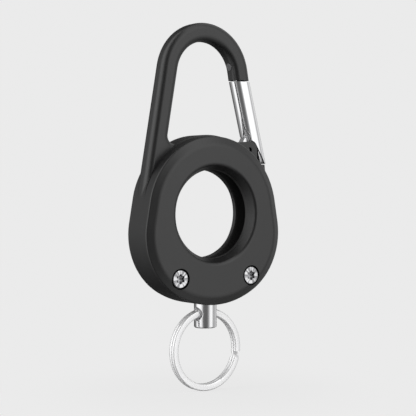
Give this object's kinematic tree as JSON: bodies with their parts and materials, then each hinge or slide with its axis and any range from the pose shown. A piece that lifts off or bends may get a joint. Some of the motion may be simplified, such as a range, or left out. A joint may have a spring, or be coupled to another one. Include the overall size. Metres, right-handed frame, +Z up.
{
  "type": "tracker tag holder",
  "caption": "Two-part moulded case with a round window for a tracker tag, a carabiner hook with a sprung gate on top and a key ring on a swivel stem below.",
  "frame": {"origin": "centre of the tag window, halfway through the case", "axes": "+Z up through the hook, +X to the gate's side, the front face looks along -Y"},
  "size_m": [0.0476, 0.0118, 0.1085],
  "materials": {
    "rear_moulding": "satin black",
    "front_moulding": "satin black",
    "insert_brass": "turned",
    "screw_steel": "polished",
    "pin_steel": "blackened",
    "nose_steel": "dull grey",
    "gate_chrome": "polished",
    "spring_steel": "plain",
    "stem_steel": "fine turned",
    "ring_chrome": "polished"
  },
  "bodies": {
    "holder": {"rear_shell": "rear_moulding", "front_cover": "front_moulding", "screw_inserts": "insert_brass", "cover_screws": "screw_steel", "gate_pin": "pin_steel", "nose_pin": "nose_steel"},
    "gate": {"gate": "gate_chrome", "gate_spring": "spring_steel"},
    "stem": {"swivel_stem": "stem_steel"},
    "ring": {"split_ring": "ring_chrome"}
  },
  "joints": [
    {"name": "gate_hinge", "type": "hinge", "parent": "holder", "child": "gate", "pos_m": [0.0155, 0.00122, 0.0191], "axis": [0, -1, 0], "range_deg": [0, 30], "stiffness_Nm_per_rad": 0.03, "springref_deg": -40.11},
    {"name": "stem_swivel", "type": "hinge", "parent": "holder", "child": "stem", "pos_m": [0, 0, -0.0294], "axis": [0, 0, 1], "continuous": true},
    {"name": "ring_swing", "type": "hinge", "parent": "stem", "child": "ring", "pos_m": [0, 0, -0.0294], "axis": [1, 0, 0], "range_deg": [-90, 90]}
  ]
}
